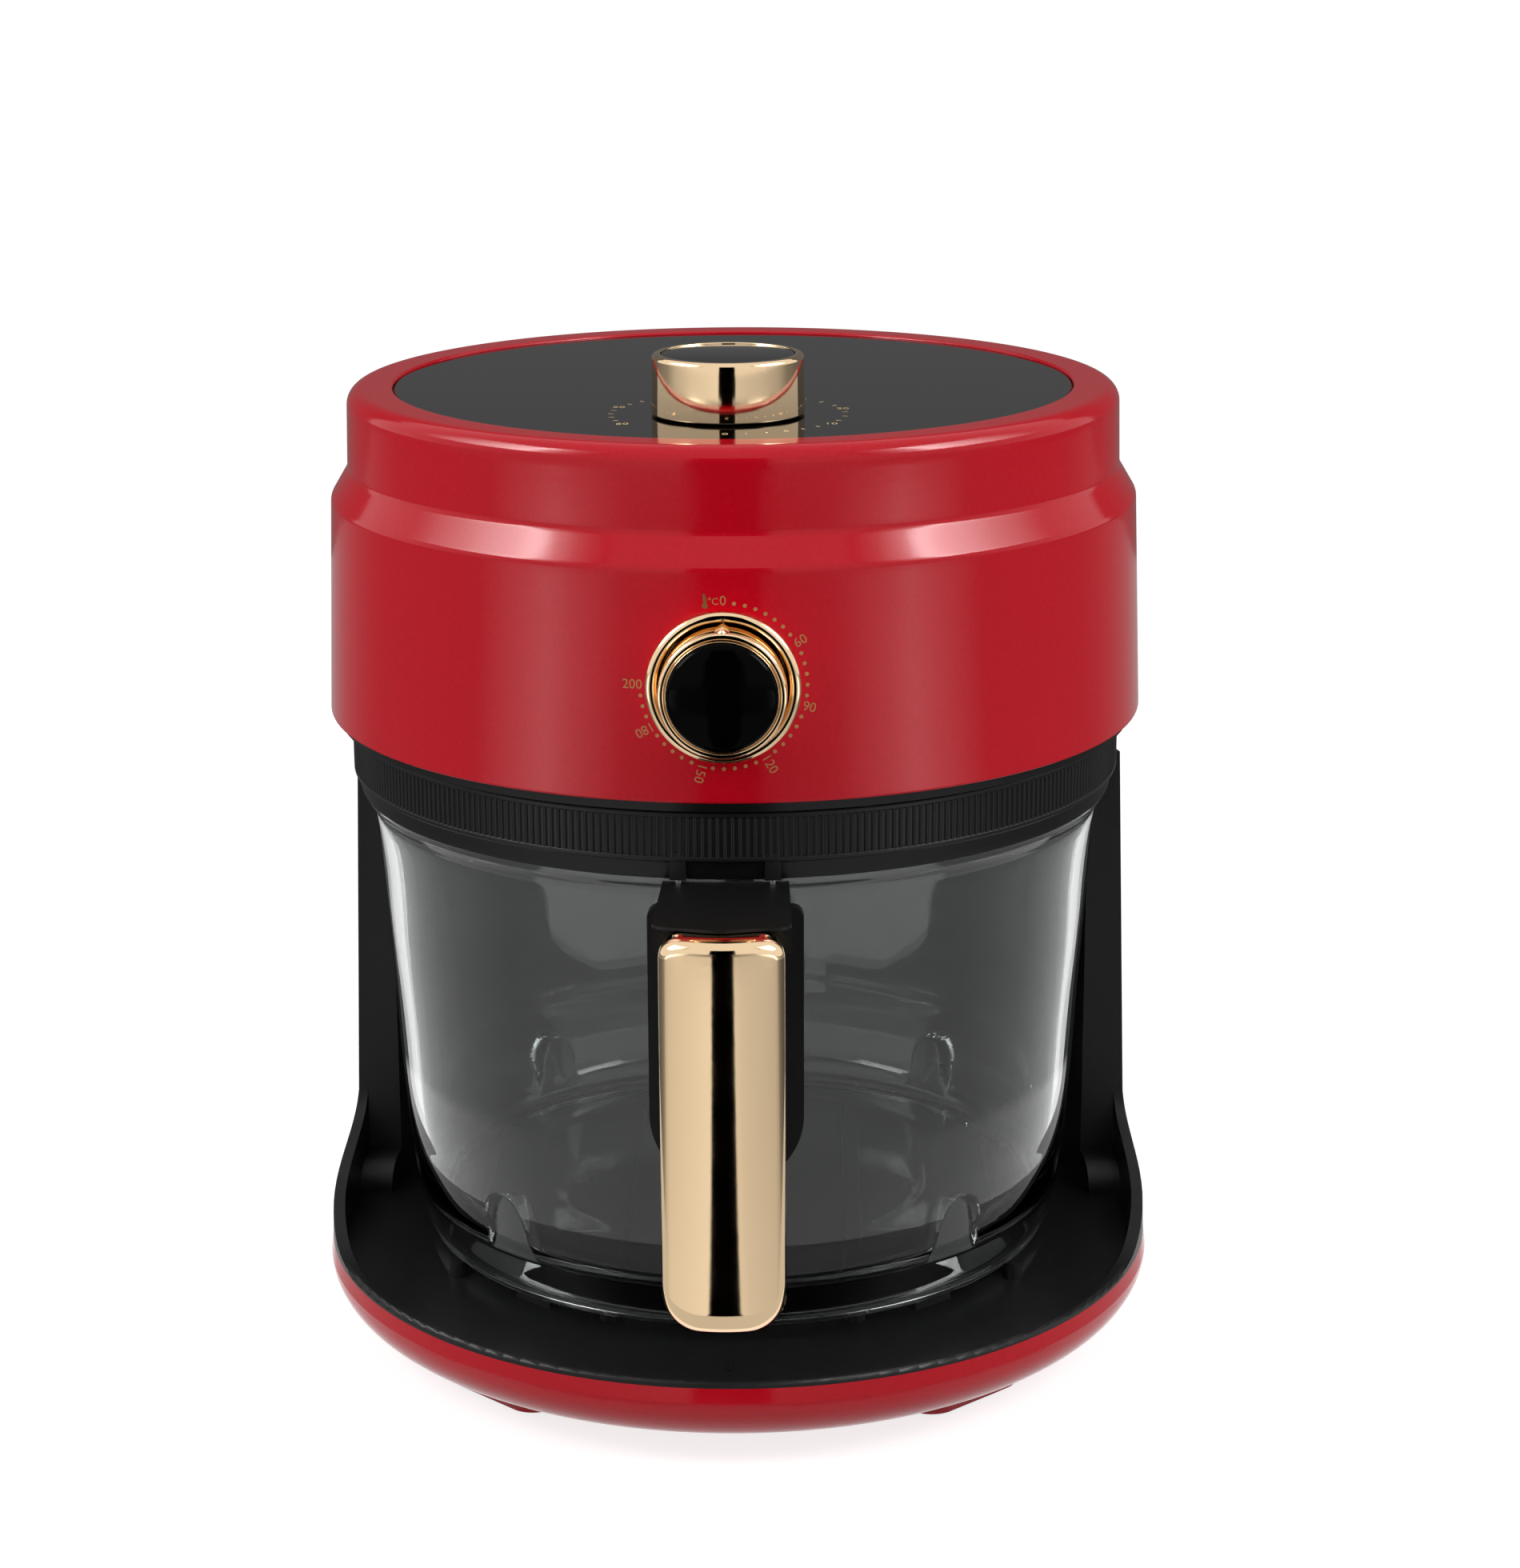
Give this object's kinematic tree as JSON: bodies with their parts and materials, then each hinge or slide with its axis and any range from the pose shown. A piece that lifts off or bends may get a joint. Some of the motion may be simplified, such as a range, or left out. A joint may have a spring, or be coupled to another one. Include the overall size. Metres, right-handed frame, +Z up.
{
  "type": "air fryer",
  "caption": "Round countertop air fryer: a red drum head and black column over a pull-out glass bowl, with a gold-covered handle, a timer knob on top and a temperature dial in front.",
  "frame": {"origin": "on the table, at the middle of the object's width and depth, the handle included", "axes": "+Z up, +Y towards the back column, -Y towards the handle and the dial, +X to the right seen from the front"},
  "size_m": [0.2682, 0.306, 0.3233],
  "materials": {
    "red_enamel": "glossy red",
    "black_plastic": "satin black",
    "gloss_black": "mirror-like black",
    "white_plastic": "moulded white",
    "gold_plating": "bright champagne gold plating on plastic",
    "bowl_glass": "clear pressed glass",
    "rubber": "matt rubber",
    "silicone": "grey silicone",
    "screw_steel": "zinc plated",
    "steel_sheet": "bright sheet steel",
    "heater_steel": "dark sheathed steel",
    "aluminium_sheet": "pressed sheet"
  },
  "bodies": {
    "stand": {"base_pan": "red_enamel", "foot_pads": "rubber", "base_screws": "screw_steel", "tray_column": "black_plastic", "column_cover": "black_plastic", "cover_screws": "screw_steel", "cord_gland": "rubber", "neck_screws": "screw_steel", "head_chassis": "black_plastic", "head_screws": "screw_steel", "head_shell": "red_enamel", "rear_grille": "black_plastic", "top_panel": "gloss_black", "timer_case": "white_plastic", "timer_bell": "steel_sheet", "temperature_bezel": "gold_plating", "thermostat": "white_plastic", "thermostat_bracket": "steel_sheet", "thermostat_screws": "screw_steel", "capillary_bulb": "steel_sheet", "heat_reflector": "steel_sheet", "heating_element": "heater_steel", "element_clips": "steel_sheet", "element_guard": "steel_sheet", "fan_shroud": "black_plastic", "motor_bracket": "steel_sheet", "motor": "steel_sheet", "thermal_fuse": "white_plastic", "safety_switch": "black_plastic", "terminal_block": "white_plastic", "wire_harness": "rubber"},
    "pot": {"glass_bowl": "bowl_glass", "collar": "black_plastic", "collar_seal": "silicone", "collar_screws": "screw_steel", "handle_frame": "black_plastic", "handle_cover": "gold_plating", "handle_screws": "screw_steel"},
    "timer_dial": {"timer_knob": "gold_plating", "timer_knob_cap": "gloss_black", "timer_shaft": "steel_sheet"},
    "temperature_dial": {"temperature_knob": "gold_plating", "temperature_knob_cap": "gloss_black", "thermostat_shaft": "steel_sheet"},
    "fan_rotor": {"motor_shaft": "steel_sheet", "convection_fan": "aluminium_sheet", "cooling_fan": "aluminium_sheet"},
    "plunger": {"switch_plunger": "white_plastic"}
  },
  "joints": [
    {"name": "pot_slide", "type": "slide", "parent": "stand", "child": "pot", "axis": [0, -1, 0], "range_m": [0, 0.255]},
    {"name": "timer_turn", "type": "hinge", "parent": "stand", "child": "timer_dial", "pos_m": [0, -0.0415, 0.3], "axis": [0, 0, -1], "range_deg": [0, 300]},
    {"name": "temperature_turn", "type": "hinge", "parent": "stand", "child": "temperature_dial", "pos_m": [0, -0.1, 0.2395], "axis": [0, 1, 0], "range_deg": [0, 270]},
    {"name": "fan_spin", "type": "hinge", "parent": "stand", "child": "fan_rotor", "pos_m": [0, 0.017, 0.22], "axis": [0, 0, 1], "continuous": true},
    {"name": "plunger_press", "type": "slide", "parent": "stand", "child": "plunger", "axis": [0, 0, 1], "range_m": [0, 0.0012], "stiffness_N_per_m": 150}
  ]
}
